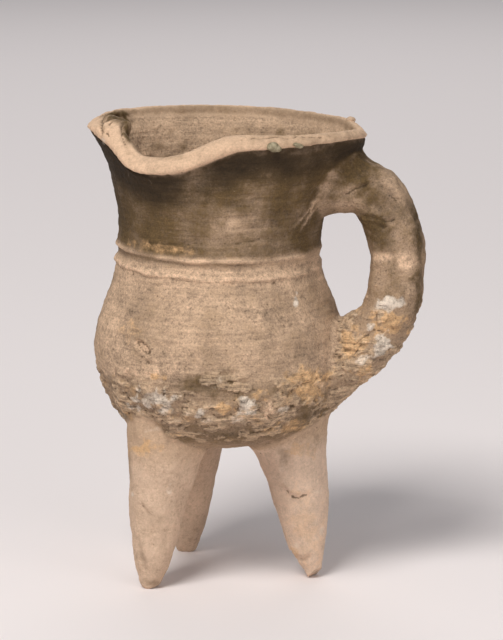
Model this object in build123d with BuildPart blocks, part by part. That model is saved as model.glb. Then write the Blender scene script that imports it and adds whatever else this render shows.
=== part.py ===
from build123d import *
import os
from math import cos, hypot, pi, radians, sin, tan

# A hand-built fired-clay pouring vessel on three solid legs, in millimetres.
# The origin is on the body's turning axis, at the level that the feet stand on.
# +Z is up, +X points to the handle, and azimuths turn from +X towards +Y.

# Body
WALL = 6.0
BELLY_RADIUS = 53.5
BELLY_LEVEL = 100.0
BOWL_BOTTOM = 57.0
BOWL_FLATNESS = 0.9
BOWL_STEEPNESS = 0.51
WAIST_RADIUS = 43.0
WAIST_LEVEL = 140.5
SHOULDER_ROUNDING = 0.49
SHOULDER_HOLLOW = 0.35

# Slumps of the hand-pressed bowl: azimuth, share of the way up its curve, and height, below 0 for a tuck
SLUMPS = (
    (229, 0.82, 1.8), (253, 0.80, 1.4), (281, 0.77, 1.2), (304, 0.81, 1.9), (328, 0.78, 1.3),
    (42, 0.80, 1.5), (70, 0.78, 1.2), (96, 0.81, 1.7), (150, 0.79, 1.4), (174, 0.81, 1.8), (200, 0.79, 1.2),
    (245, 0.68, -1.6), (268, 0.63, -1.2), (293, 0.64, -1.5), (318, 0.66, -1.1),
    (55, 0.64, -1.4), (83, 0.64, -1.2), (163, 0.64, -1.4), (188, 0.65, -1.2),
)
SWELLING_ROUND = 26.0
TUCK_ROUND = 55.0

# Slip that beds a luted piece on the body
SLIP = 0.2

# Mouth, measured at the middle of a lip of full size
RIM_LEVEL = 193.0
RIM_TILT = 1.0
MOUTH_HALF_WIDTH = 45.5
MOUTH_HANDLE_REACH = 58.5
MOUTH_FAR_REACH = 50.2
MOUTH_POWER = 3
NECK_PINCH = 1.2
NECK_FLARE = 0.5
NECK_HANDLE_FLARE = 10.0

# Pouring lip: the stretch of the rim that was pulled down and out
POUR_ANGLE = 252.0
POUR_HALF_ANGLE = 44.0
POUR_DIP = 9.5
POUR_REACH = 2.0

# Lip band: a flattened coil laid along the rim, its outer edge turned down, thinner away from the pouring lip
LIP_LENGTH = 9.4
LIP_THICKNESS = 7.0
LIP_SLOPE_ANGLE = 38.0
LIP_COVER = 0.7
LIP_SLIM = 0.52
LIP_TAPER_ANGLE = 105.0

# Folded lump at the end of the pouring lip
FOLD_ANGLE = 206.0
FOLD_HALF_ANGLE = 18.0
FOLD_LENGTH = 12.5
FOLD_THICKNESS = 9.6
FOLD_OUT = -1.8
FOLD_RAISE = 0.6
FOLD_END = 0.3
FOLD_SLICES = 5

# Cordons: raised lines either side of the waist seam
CORDON_RELIEF = 1.2
CORDON_HEIGHT = 3.6
CORDON_SPACING = 3.4

# Handle: its section, then its middle line as distances out from its upper root and levels
HANDLE_WIDTH = 21.0
HANDLE_THICKNESS = 22.0
HANDLE_CORNER = 8.0
HANDLE_BELOW_RIM = 23.0
HANDLE_RISE = 2.0
HANDLE_CREST_OUT = 22.3
HANDLE_BACK_OUT = 33.6
HANDLE_BACK_ABOVE_WAIST = 5.5
HANDLE_LOW_OUT = 30.4
HANDLE_LOW_ABOVE_BELLY = 13.5
HANDLE_LOW_ROOT_IN = 14.0
HANDLE_LOW_ROOT_DROP = 13.0
BEND_SHARE = 0.45
UPPER_ROOT_SPREAD = 4.5
UPPER_ROOT_LENGTH = 18.0
UPPER_ROOT_RAISE = 5.0
LOWER_ROOT_SPREAD = 5.0
LOWER_ROOT_LENGTH = 40.0
LOWER_ROOT_RAISE = 0.0
ROOT_FEATHER = 0.4

# Legs
LEG_AZIMUTHS = {"under_handle": 0.0, "at_rear": 125.0, "under_spout": 233.0}
LEG_INSET = 22.0
LEG_SPLAY = 7.3
FOOT_RADIUS = 5.0
FOOT_ROUNDING = 4.0
FOOT_WEAR = 1.5
LEG_ROOT_RADIUS = 14.8
LEG_SWELL_POWER = 0.8
COLLAR_DROP = 11.0
COLLAR_EDGE = 0.8
COLLAR_SPREAD = 5.0
LEG_SECTIONS = 6

# Small clay pellets on the lip: azimuth, distance out, height above the lip's middle, radius
PELLETS = ((309.0, 2.4, -1.1, 2.9), (319.5, 2.2, -1.0, 1.9), (25.0, 0.3, 1.4, 2.0))

# Slices round the mouth
SLICE_ANGLE = 10
HALVES = ((0, 180), (180, 360))

# Values that follow from the sizes above
BOWL_DEPTH = BELLY_LEVEL - BOWL_BOTTOM
SHOULDER_RISE = WAIST_LEVEL - BELLY_LEVEL
LIP_LEAN = radians(LIP_SLOPE_ANGLE)
LIP_HALF_WIDTH = hypot(LIP_LENGTH / 2 * cos(LIP_LEAN), LIP_THICKNESS / 2 * sin(LIP_LEAN))
LIP_HALF_HEIGHT = hypot(LIP_LENGTH / 2 * sin(LIP_LEAN), LIP_THICKNESS / 2 * cos(LIP_LEAN))
LEG_TOP = BELLY_LEVEL - BOWL_DEPTH / 2
ROOT_CIRCLE = BELLY_RADIUS - LEG_INSET
FOOT_CIRCLE = ROOT_CIRCLE + LEG_SPLAY


def out_from_axis(azimuth, radius, level):
    """The point at an azimuth, a distance from the body's axis and a level."""
    return Vector(radius * cos(radians(azimuth)), radius * sin(radians(azimuth)), level)


def pour(azimuth):
    """1 in the middle of the pouring lip, falling smoothly to 0 at its ends."""
    share = abs(azimuth % 360 - POUR_ANGLE) / POUR_HALF_ANGLE
    return cos(pi / 2 * min(share, 1)) ** 2


def lip_share(azimuth):
    """The lip's size as a share of its size at the pouring lip."""
    turned = abs((azimuth - POUR_ANGLE + 180) % 360 - 180)
    return LIP_SLIM + (1 - LIP_SLIM) * cos(pi / 2 * min(turned / LIP_TAPER_ANGLE, 1)) ** 2


def mouth_radius(azimuth):
    """Distance of the lip's middle from the axis. The lip's outer edge keeps to the oval where it thins."""
    along = cos(radians(azimuth))
    reach = MOUTH_HANDLE_REACH if along > 0 else MOUTH_FAR_REACH
    oval = MOUTH_HALF_WIDTH + (reach - MOUTH_HALF_WIDTH) * abs(along) ** MOUTH_POWER
    return oval + POUR_REACH * pour(azimuth) + (1 - lip_share(azimuth)) * LIP_HALF_WIDTH


def rim_level(azimuth):
    """Level of the lip's middle, which leans a little, dips at the pouring lip and rises where it thins."""
    lean = RIM_LEVEL - RIM_TILT * cos(radians(azimuth))
    return lean - POUR_DIP * pour(azimuth) + (1 - lip_share(azimuth)) * LIP_HALF_HEIGHT


def rim_point(azimuth):
    """A point on the line that the lip band follows."""
    return out_from_axis(azimuth, mouth_radius(azimuth), rim_level(azimuth))


def rim_plane(azimuth):
    """A plane square to the rim, with X outwards and Y down."""
    ahead = (rim_point(azimuth + 1) - rim_point(azimuth - 1)).normalized()
    return Plane(rim_point(azimuth), x_dir=ahead.cross(Vector(0, 0, 1)), z_dir=ahead)


def upright_plane(azimuth):
    """A plane through the body's axis, with X outwards and Y up."""
    outwards = out_from_axis(azimuth, 1, 0)
    return Plane((0, 0, 0), x_dir=outwards, z_dir=outwards.cross(Vector(0, 0, 1)))


def bowl_line(inset):
    """The bowl's curve from its bottom to the widest line, a distance inside the outer face."""
    radius = BELLY_RADIUS - inset
    bottom = BOWL_BOTTOM + inset
    return Bezier((0, bottom), (BOWL_FLATNESS * radius, bottom),
                  (radius, BELLY_LEVEL - BOWL_STEEPNESS * BOWL_DEPTH), (radius, BELLY_LEVEL))


def shoulder_line(inset):
    """The shoulder's curve from the widest line up to the waist."""
    low = BELLY_RADIUS - inset
    high = WAIST_RADIUS - inset
    return Bezier((low, BELLY_LEVEL), (low, BELLY_LEVEL + SHOULDER_ROUNDING * SHOULDER_RISE),
                  (high, WAIST_LEVEL - SHOULDER_HOLLOW * SHOULDER_RISE), (high, WAIST_LEVEL))


def neck_line(azimuth, depth):
    """The neck's curve from the waist to the rim: the outer face at depth 0, the inner one at depth 1."""
    foot = WAIST_RADIUS - WALL * depth
    seat = (lip_share(azimuth) * LIP_LENGTH / 2 - LIP_COVER) * (1 - 2 * depth)
    top = mouth_radius(azimuth) + seat * cos(LIP_LEAN)
    rise = rim_level(azimuth) - seat * sin(LIP_LEAN) - WAIST_LEVEL
    swell = NECK_HANDLE_FLARE * max(cos(radians(azimuth)), 0) ** MOUTH_POWER
    return Bezier((foot, WAIST_LEVEL), (foot - NECK_PINCH, WAIST_LEVEL + rise / 3),
                  (foot - NECK_FLARE + swell, WAIST_LEVEL + rise * 2 / 3), (top, WAIST_LEVEL + rise))


def leg_radius(height):
    """Radius of a leg at a height along it: a taper that swells a little."""
    share = (height - FOOT_ROUNDING) / (LEG_TOP - FOOT_ROUNDING)
    return FOOT_RADIUS + (LEG_ROOT_RADIUS - FOOT_RADIUS) * sin(pi / 2 * share) ** LEG_SWELL_POWER


def bend_radius(before, corner, after):
    """The largest easy bend at a corner, which takes up a share of the shorter run beside it."""
    first = Vector(*corner) - Vector(*before)
    second = Vector(*after) - Vector(*corner)
    half_turn = radians(first.get_angle(second)) / 2
    return BEND_SHARE * min(first.length, second.length) / tan(half_turn)


def slump_bowl(slip):
    """Swell and tuck the bowl that is being built, with every face moved out by some slip."""
    face = bowl_line(0)
    for azimuth, share, height in SLUMPS:
        ahead = face % share
        outwards = Vector(ahead.Y, -ahead.X)
        if height > 0:
            middle = face @ share - outwards * (SWELLING_ROUND - height)
        else:
            middle = face @ share + outwards * (TUCK_ROUND + height)
        with Locations(out_from_axis(azimuth, middle.X, middle.Y)):
            if height > 0:
                Sphere(SWELLING_ROUND + slip)
            else:
                Sphere(TUCK_ROUND - slip, mode=Mode.SUBTRACT)


def finish(piece, name):
    """Label a finished piece and write it."""
    piece.part.label = name
    export_step(piece.part, f"parts/{name}.step")
    print(name, len(piece.part.solids()), round(piece.part.volume), piece.part.is_valid)


os.makedirs("parts", exist_ok=True)

# Belly bowl: the pressed lower bowl, round-bottomed, lumpy outside and open at its widest line
with BuildPart() as belly_bowl:
    with BuildSketch(Plane.XZ):
        with BuildLine():
            outer = bowl_line(0)
            Polyline(outer @ 1, (0, BELLY_LEVEL), outer @ 0)
        make_face()
    revolve(axis=Axis.Z)
    slump_bowl(0)
    split(bisect_by=Plane.XY.offset(BELLY_LEVEL), keep=Keep.BOTTOM)
    with BuildSketch(Plane.XZ):
        with BuildLine():
            inner = bowl_line(WALL)
            Polyline(inner @ 1, (0, BELLY_LEVEL), inner @ 0)
        make_face()
    revolve(axis=Axis.Z, mode=Mode.SUBTRACT)
finish(belly_bowl, "belly_bowl")

# Shoulder ring: the wall from the widest line up to the waist
with BuildPart() as shoulder_ring:
    with BuildSketch(Plane.XZ):
        with BuildLine():
            outer = shoulder_line(0)
            inner = shoulder_line(WALL)
            Line(outer @ 0, inner @ 0)
            Line(outer @ 1, inner @ 1)
        make_face()
    revolve(axis=Axis.Z)
finish(shoulder_ring, "shoulder_ring")

# Lip band: a flattened coil that follows the rim
with BuildPart() as lip_band:
    for start, stop in HALVES:
        for azimuth in range(start, stop + SLICE_ANGLE, SLICE_ANGLE):
            half = lip_share(azimuth) / 2
            with BuildSketch(rim_plane(azimuth)):
                Ellipse(half * LIP_LENGTH, half * LIP_THICKNESS, rotation=LIP_SLOPE_ANGLE)
        loft()
finish(lip_band, "lip_band")

# Neck collar: upright slices of the flared wall, joined round the mouth, with a seat for the lip band
with BuildPart() as neck_collar:
    for start, stop in HALVES:
        for azimuth in range(start, stop + SLICE_ANGLE, SLICE_ANGLE):
            with BuildSketch(upright_plane(azimuth)):
                with BuildLine():
                    outer = neck_line(azimuth, 0)
                    inner = neck_line(azimuth, 1)
                    Line(outer @ 0, inner @ 0)
                    Line(outer @ 1, inner @ 1)
                make_face()
        loft()
    add(lip_band.part, mode=Mode.SUBTRACT)
finish(neck_collar, "neck_collar")

# The bowl and shoulder with their slip as a full block, and the space inside the neck.
# No luted piece enters these.
with BuildPart() as full_body:
    with BuildSketch(Plane.XZ):
        with BuildLine():
            bowl_face = bowl_line(-SLIP)
            shoulder_face = shoulder_line(-SLIP)
            Polyline(shoulder_face @ 1, (0, WAIST_LEVEL), bowl_face @ 0)
        make_face()
    revolve(axis=Axis.Z)
    slump_bowl(SLIP)
with BuildPart() as neck_space:
    with BuildSketch(Plane.XZ):
        with BuildLine():
            middle = neck_line(0, 0.5)
            Polyline(middle @ 1, (0, rim_level(0)), (0, WAIST_LEVEL), middle @ 0)
        make_face()
    revolve(axis=Axis.Z)
WALLS = (neck_collar, neck_space, full_body, lip_band)

# Folded lump: a pinch of clay along the rim at the end of the pouring lip, thickest in its middle
with BuildPart() as spout_fold:
    for i in range(FOLD_SLICES):
        along = 2 * i / (FOLD_SLICES - 1) - 1
        swell = FOLD_END + (1 - FOLD_END) * cos(pi / 2 * along)
        with BuildSketch(rim_plane(FOLD_ANGLE + along * FOLD_HALF_ANGLE)):
            with Locations((FOLD_OUT * swell, -FOLD_RAISE * swell)):
                Ellipse(FOLD_LENGTH / 2 * swell, FOLD_THICKNESS / 2 * swell)
    loft()
    add(lip_band.part, mode=Mode.SUBTRACT)
    add(neck_collar.part, mode=Mode.SUBTRACT)
finish(spout_fold, "spout_fold")

# Cordons: half-round strips round the waist, one on each side of its seam
cordons = []
for name, side in (("lower_cordon", -1), ("upper_cordon", 1)):
    low = WAIST_LEVEL + side * CORDON_SPACING - CORDON_HEIGHT / 2
    high = low + CORDON_HEIGHT
    back = WAIST_RADIUS + SLIP
    with BuildPart() as cordon:
        with BuildSketch(Plane.XZ):
            with BuildLine():
                ThreePointArc((back, low), (back + CORDON_RELIEF, (low + high) / 2), (back, high))
                Line((back, high), (back, low))
            make_face()
        revolve(axis=Axis.Z)
        add(full_body.part, mode=Mode.SUBTRACT)
    finish(cordon, name)
    cordons.append(cordon)

# Legs: solid tapers that lean out a little, worn flat where they stand, each with clay round its root
leg_collars = []
leg_step = (LEG_TOP - FOOT_ROUNDING) / LEG_SECTIONS
leg_heights = [FOOT_ROUNDING + leg_step * i for i in range(LEG_SECTIONS + 1)]
for place, azimuth in LEG_AZIMUTHS.items():
    foot = out_from_axis(azimuth, FOOT_CIRCLE, 0)
    upwards = (out_from_axis(azimuth, ROOT_CIRCLE, BOWL_BOTTOM) - foot).normalized()
    across = out_from_axis(azimuth + 90, 1, 0)
    leg_plane = Plane(foot, x_dir=across, z_dir=across.cross(upwards))
    with BuildPart() as leg:
        with BuildSketch(leg_plane):
            with BuildLine():
                Bezier((0, -FOOT_WEAR), (FOOT_RADIUS / 2, -FOOT_WEAR),
                       (FOOT_RADIUS, FOOT_ROUNDING / 3), (FOOT_RADIUS, FOOT_ROUNDING))
                Spline([(leg_radius(height), height) for height in leg_heights])
                Polyline((LEG_ROOT_RADIUS, LEG_TOP), (0, LEG_TOP), (0, -FOOT_WEAR))
            make_face()
        revolve(axis=Axis(foot, upwards))
        split(bisect_by=Plane.XY, keep=Keep.TOP)
        add(full_body.part, mode=Mode.SUBTRACT)
    finish(leg, f"leg_{place}")

    low = BOWL_BOTTOM - COLLAR_DROP
    low_radius = leg_radius(low) + COLLAR_EDGE
    high_radius = LEG_ROOT_RADIUS + COLLAR_SPREAD
    with BuildPart() as collar:
        with BuildSketch(leg_plane):
            with BuildLine():
                hollow = ((2 * low_radius + high_radius) / 3, (low + LEG_TOP) / 2)
                Bezier((low_radius, low), hollow, (high_radius, LEG_TOP))
                Polyline((high_radius, LEG_TOP), (0, LEG_TOP), (0, low), (low_radius, low))
            make_face()
        revolve(axis=Axis(foot, upwards))
        add(full_body.part, mode=Mode.SUBTRACT)
        add(leg.part, mode=Mode.SUBTRACT)
    finish(collar, f"collar_{place}")
    leg_collars.append(collar)

# Handle strap: one thick strap bent from the neck out and down to the belly
neck_inside = neck_line(0, 1)
root_level = RIM_LEVEL - HANDLE_BELOW_RIM
root_share = (root_level - WAIST_LEVEL) / ((neck_inside @ 1).Y - WAIST_LEVEL)
root_radius = (neck_inside @ root_share).X
handle_points = (
    (root_radius, root_level),
    (root_radius + HANDLE_CREST_OUT, root_level + HANDLE_RISE),
    (root_radius + HANDLE_BACK_OUT, WAIST_LEVEL + HANDLE_BACK_ABOVE_WAIST),
    (root_radius + HANDLE_LOW_OUT, BELLY_LEVEL + HANDLE_LOW_ABOVE_BELLY),
    (BELLY_RADIUS - HANDLE_LOW_ROOT_IN, BELLY_LEVEL - HANDLE_LOW_ROOT_DROP),
)
handle_bends = [bend_radius(*handle_points[i:i + 3]) for i in range(len(handle_points) - 2)]
with BuildPart() as handle_strap:
    with BuildLine(Plane.XZ) as handle_path:
        FilletPolyline(*handle_points, radius=handle_bends)
    handle_start = handle_path.line @ 0
    handle_end = handle_path.line @ 1
    out_of_neck = handle_path.line % 0
    out_of_belly = -(handle_path.line % 1)
    with BuildSketch(Plane(handle_start, x_dir=(0, 1, 0), z_dir=out_of_neck)):
        RectangleRounded(HANDLE_WIDTH, HANDLE_THICKNESS, HANDLE_CORNER)
    sweep()
    for neighbour in (*WALLS, *cordons):
        add(neighbour.part, mode=Mode.SUBTRACT)
finish(handle_strap, "handle_strap")

# Handle roots: luting clay pressed round both ends of the strap
root_sizes = (
    ("handle_upper_root", handle_start, out_of_neck, UPPER_ROOT_SPREAD, UPPER_ROOT_LENGTH, UPPER_ROOT_RAISE),
    ("handle_lower_root", handle_end, out_of_belly, LOWER_ROOT_SPREAD, LOWER_ROOT_LENGTH, LOWER_ROOT_RAISE),
)
for name, start, outwards, wide, length, up in root_sizes:
    with BuildPart() as root_clay:
        for along, spread, lift in ((0, wide, up), (length, ROOT_FEATHER, 0)):
            middle = start + outwards * along + Vector(0, 0, lift)
            with BuildSketch(Plane(middle, x_dir=(0, 1, 0), z_dir=outwards)):
                RectangleRounded(HANDLE_WIDTH + 2 * spread, HANDLE_THICKNESS + 2 * spread,
                                 HANDLE_CORNER + spread)
        loft()
        for neighbour in (*WALLS, *cordons, handle_strap, *leg_collars):
            add(neighbour.part, mode=Mode.SUBTRACT)
    finish(root_clay, name)

# Rim pellets: small balls of clay that stick to the lip
with BuildPart() as rim_pellets:
    for azimuth, out, up, radius in PELLETS:
        with Locations(rim_plane(azimuth).from_local_coords((out, -up))):
            Sphere(radius)
    add(lip_band.part, mode=Mode.SUBTRACT)
    add(neck_collar.part, mode=Mode.SUBTRACT)
finish(rim_pellets, "rim_pellets")
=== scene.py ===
# %% [markdown]
# # A hand-built clay pouring vessel on three legs
# The real vessel was put together from separately formed clay members: a pressed bowl, a shoulder,
# a flared neck with a thick lip, a strap handle and three solid legs. They were luted with slip,
# wiped over with wet fingers, fired, and then buried for a very long time.
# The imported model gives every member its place. This lesson turns those members into old clay.

import math

import bpy
import numpy as np
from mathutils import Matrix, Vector, kdtree, noise


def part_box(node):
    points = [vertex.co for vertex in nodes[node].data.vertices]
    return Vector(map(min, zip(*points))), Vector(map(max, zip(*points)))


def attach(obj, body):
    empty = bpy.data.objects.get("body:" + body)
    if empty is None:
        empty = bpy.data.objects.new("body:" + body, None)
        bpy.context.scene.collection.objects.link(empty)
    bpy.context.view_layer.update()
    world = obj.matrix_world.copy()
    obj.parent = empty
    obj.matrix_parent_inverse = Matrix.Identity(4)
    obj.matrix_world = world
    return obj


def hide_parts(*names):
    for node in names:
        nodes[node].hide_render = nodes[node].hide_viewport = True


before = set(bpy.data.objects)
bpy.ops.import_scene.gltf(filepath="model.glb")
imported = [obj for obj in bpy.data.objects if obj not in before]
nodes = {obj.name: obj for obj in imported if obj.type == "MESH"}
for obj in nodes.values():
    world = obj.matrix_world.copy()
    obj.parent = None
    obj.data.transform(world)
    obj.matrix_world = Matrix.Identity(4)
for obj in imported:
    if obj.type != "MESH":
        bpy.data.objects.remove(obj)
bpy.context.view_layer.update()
print("members in the frame:", len(nodes))

# %% [markdown]
# ## Camera
# The picture was taken with a long lens from a little above the rim, so the mouth shows as a narrow oval.
# The place and the lens were found by laying the members' outlines over the picture.

# %% Set up the camera
CAMERA_PLACE = Vector((0.2944, -1.3176, 0.372))
CAMERA_AIM = Vector((0.0137, 0.0029, 0.111))
LONG_SIDE = 36.0
LENS = 181.0
CAMERA_SIGHT = 20.0


def add(name, data):
    """A new object in the scene."""
    made = bpy.data.objects.new(name, data)
    bpy.context.scene.collection.objects.link(made)
    return made


def aim(thing, place, target):
    """Stand a camera or a lamp at a place and turn it to a target."""
    thing.location = place
    thing.rotation_euler = (target - Vector(place)).to_track_quat("-Z", "Y").to_euler()


camera = add("camera", bpy.data.cameras.new("camera"))
aim(camera, CAMERA_PLACE, CAMERA_AIM)
camera.data.sensor_fit = "VERTICAL"
camera.data.sensor_height = LONG_SIDE
camera.data.lens = LENS
camera.data.clip_end = CAMERA_SIGHT
bpy.context.scene.camera = camera
bpy.context.scene.view_settings.view_transform = "Standard"
print("camera stands", round((CAMERA_AIM - CAMERA_PLACE).length, 3), "m away")

# %% [markdown]
# ## Floor and light
# A pale floor runs back out of sight. One large soft lamp stands high on the left, as in the picture.
# Weaker ones fill in from the right and from behind, and the room gives a little light from everywhere.

# %% Lay the floor and hang the lamps
FLOOR_REACH = 6.0
FLOOR_SIDES = 96
FLOOR_COLOUR = (0.88, 0.82, 0.81, 1.0)
FLOOR_ROUGHNESS = 0.8
ROOM_COLOUR = (0.92, 0.94, 1.0, 1.0)
ROOM_LIGHT = 0.2
LAMP_AIM = Vector((0.0, 0.0, 0.1))
# Name, place, size, power and colour of each lamp.
LAMPS = (
    ("key_lamp", (-0.54, -1.89, 2.53), 1.26, 79.0, (1.0, 0.985, 0.96)),
    ("fill_lamp", (1.98, -1.89, 0.82), 1.98, 21.0, (1.0, 0.98, 0.96)),
    ("back_lamp", (-0.36, 2.16, 1.9), 1.8, 16.0, (1.0, 1.0, 1.0)),
)

bpy.ops.mesh.primitive_circle_add(vertices=FLOOR_SIDES, radius=FLOOR_REACH, fill_type="NGON")
floor = bpy.context.object
floor.name = "floor"
matt = bpy.data.materials.new("pale_floor")
matt.use_nodes = True
sockets = matt.node_tree.nodes["Principled BSDF"].inputs
sockets["Base Color"].default_value = FLOOR_COLOUR
sockets["Roughness"].default_value = FLOOR_ROUGHNESS
sockets["Specular IOR Level"].default_value = 0.0
floor.data.materials.append(matt)
for name, place, size, power, colour in LAMPS:
    lamp = add(name, bpy.data.lights.new(name, "AREA"))
    aim(lamp, place, LAMP_AIM)
    lamp.data.size = size
    lamp.data.energy = power
    lamp.data.color = colour
room = bpy.data.worlds.new("room")
room.use_nodes = True
sockets = room.node_tree.nodes["Background"].inputs
sockets["Color"].default_value = ROOM_COLOUR
sockets["Strength"].default_value = ROOM_LIGHT
bpy.context.scene.world = room
print("lamps:", len(LAMPS))

# %% [markdown]
# ## One blank of raw clay
# On the real vessel no joint is sharp: wet fingers ran the clay of one member into the next.
# A stack of separate solids can't show that. So copies of the members are swollen by a hair until
# they touch, and one voxel remesh makes a single even skin of them that can be modelled like clay.
# The two cordons are left out here, because they are drawn up from the skin later.

# %% Gather the members into a blank
SKIN_STEP = 0.00075
SWELL = 0.00025
WELD = 0.000002
DRAWN_LATER = ("upper_cordon", "lower_cordon", "rim_pellets")


def take(piece):
    """Leave this piece alone selected and active."""
    bpy.ops.object.select_all(action="DESELECT")
    piece.select_set(True)
    bpy.context.view_layer.objects.active = piece


def work(piece, kind, **settings):
    """Give a piece one modifier and apply it."""
    take(piece)
    step = piece.modifiers.new(kind.lower(), kind)
    for setting, value in settings.items():
        setattr(step, setting, value)
    bpy.ops.object.modifier_apply(modifier=step.name)


def edit(piece, tool, **settings):
    """Use an edit-mode tool on the whole of a piece."""
    take(piece)
    bpy.ops.object.mode_set(mode="EDIT")
    bpy.ops.mesh.select_all(action="SELECT")
    tool(**settings)
    bpy.ops.object.mode_set(mode="OBJECT")


def join(parts):
    """Join several pieces into the first of them."""
    take(parts[0])
    for piece in parts:
        piece.select_set(True)
    bpy.ops.object.join()
    return parts[0]


def copy_members(names, swell):
    """Copies of some members, merged, swollen a little and joined into one object."""
    copies = []
    for name in names:
        member = add("raw_" + name, nodes[name].data.copy())
        edit(member, bpy.ops.mesh.remove_doubles, threshold=WELD)
        work(member, "DISPLACE", strength=swell, mid_level=0)
        copies.append(member)
    joined = join(copies)
    joined.data.materials.clear()
    return joined


clay_members = [name for name in sorted(nodes) if name not in DRAWN_LATER]
blank = copy_members(clay_members, SWELL)
work(blank, "REMESH", mode="VOXEL", voxel_size=SKIN_STEP)
print("points in the blank:", len(blank.data.vertices))

# %% [markdown]
# ## Which member is where
# Every point of the skin is given the member that lies nearest. From that come soft masks,
# one for each part of the vessel, which say where a stroke works and where it fades out.

# %% Label the skin
LIMBS = {
    "handle": ("handle_strap", "handle_upper_root", "handle_lower_root"),
    "leg_under_handle": ("leg_under_handle", "collar_under_handle"),
    "leg_under_spout": ("leg_under_spout", "collar_under_spout"),
    "leg_at_rear": ("leg_at_rear", "collar_at_rear"),
}
LIP_MEMBERS = ("lip_band", "spout_fold")


def read_points(piece, kind="place"):
    """The points of a piece in millimetres, or the way its skin faces at each point."""
    values = np.empty(3 * len(piece.data.vertices), np.float32)
    if kind == "place":
        piece.data.vertices.foreach_get("co", values)
        values *= 1000
    else:
        piece.data.vertex_normals.foreach_get("vector", values)
    return values.reshape(-1, 3).astype(float)


def plant(points):
    """A tree of points, to search by place."""
    tree = kdtree.KDTree(len(points))
    for number, place in enumerate(points.tolist()):
        tree.insert(place, number)
    tree.balance()
    return tree


def nearest(points, tree):
    """For each point, the number of the nearest point in a tree."""
    return np.fromiter((tree.find(place)[1] for place in points.tolist()), int, len(points))


def learn_neighbours(piece):
    """For each point, its neighbours in one long list, and where each point's share of the list starts."""
    ends = np.empty(2 * len(piece.data.edges), np.int32)
    piece.data.edges.foreach_get("vertices", ends)
    ends = ends.reshape(-1, 2)
    both = np.concatenate((ends, ends[:, ::-1]))
    both = both[np.argsort(both[:, 0], kind="stable")]
    starts = np.searchsorted(both[:, 0], np.arange(len(piece.data.vertices)))
    return both[:, 1], starts


def average(values):
    """Each point's neighbours, averaged."""
    total = np.add.reduceat(values[next_to], next_from, axis=0)
    return total / (next_count if values.ndim == 1 else next_count[:, None])


def spread(values, rounds):
    """Let a mask bleed into its surroundings."""
    for _ in range(rounds):
        values = (values + average(values)) / 2
    return values


next_to, next_from = learn_neighbours(blank)
next_count = np.diff(np.append(next_from, len(next_to)))
spot = read_points(blank)
known = [read_points(nodes[name]) for name in clay_members]
owner = np.repeat(clay_members, [len(places) for places in known])
member = owner[nearest(spot, plant(np.concatenate(known)))]
limb = {name: np.isin(member, names).astype(float) for name, names in LIMBS.items()}
any_limb = sum(limb.values())
print({name: int(mask.sum()) for name, mask in limb.items()})

# %% [markdown]
# ## Run the joints together
# First the steps that the voxels leave are rubbed down all over. Then the smoothing goes on only where
# one member meets another, which runs the legs and the handle into the wall with a soft hollow.
# Smooth modifiers with a vertex group do both, as a smooth brush would.

# %% Rub down the joints
SOFTNESS = 20
JOINT_SPREAD = 90
JOINT_SHARE = 5
COLLAR_SPREAD = 60
COLLAR_SHARE = 1.2
LIMB_SPREAD = 6
RUB = 0.5
# Vertex group and rounds of smoothing. The first works all over.
RUBBING = (("", 6), ("limbs", 20), ("joints", 120))


def mark(piece, name, weights):
    """Turn a mask into a vertex group, in a few steps of weight."""
    group = piece.vertex_groups.new(name=name)
    steps = np.round(np.clip(weights, 0, 1) * SOFTNESS).astype(int)
    for step in range(1, SOFTNESS + 1):
        chosen = np.nonzero(steps == step)[0].tolist()
        if chosen:
            group.add(chosen, step / SOFTNESS, "REPLACE")


joint = spread(any_limb, JOINT_SPREAD)
collars = np.char.startswith(member, "collar").astype(float)
at_collars = COLLAR_SHARE * spread(collars, COLLAR_SPREAD)
mark(blank, "joints", JOINT_SHARE * joint * (1 - joint) + at_collars)
mark(blank, "limbs", spread(any_limb, LIMB_SPREAD))
for group, rounds in RUBBING:
    work(blank, "SMOOTH", factor=RUB, iterations=rounds, vertex_group=group)
print("joints run together")

# %% [markdown]
# ## The modeller's hands
# The rest of the shaping is strokes on the skin. A stroke is a mask times a depth, pushed along the way
# the skin faces. `thumb` works at an azimuth and a level on the wall. `drawn` and `dab` work on what faces
# the camera, and take places in the picture's own pixels, so a crack lies where the picture has it.
# `rough` gives the uneven lumps that no hand repeats.

# %% Find the skin in the picture
PICTURE = (503, 640)
FACES_CAMERA = (0.02, 0.3)
ahead = (CAMERA_AIM - CAMERA_PLACE).normalized()
to_right = ahead.cross(Vector((0, 0, 1))).normalized()
to_top = to_right.cross(ahead)
ahead, to_right, to_top = np.array((ahead, to_right, to_top))
zoom = LENS / LONG_SIDE * PICTURE[1]
pixels_per_mm = zoom / (CAMERA_AIM - CAMERA_PLACE).length / 1000
spot = read_points(blank)
facing = read_points(blank, "facing")


def ramp(values, low, high):
    """0 below low, 1 above high, with a soft rise between."""
    share = np.clip((values - low) / (high - low), 0, 1)
    return share * share * (3 - 2 * share)


def between(values, low, full, wane, gone):
    """0 below low, 1 from full to wane, and 0 again above gone."""
    return ramp(values, low, full) * (1 - ramp(values, wane, gone))


def bell(values, width):
    """1 at zero, and less and less away from it."""
    return np.exp(-((values / width) ** 2))


def bearing(points):
    """The azimuth of each point, in degrees."""
    return np.degrees(np.arctan2(points[:, 1], points[:, 0])) % 360


def apart(turns, centre):
    """How far azimuths are from one of them, to one side or the other."""
    return (turns - centre + 180) % 360 - 180


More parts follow.
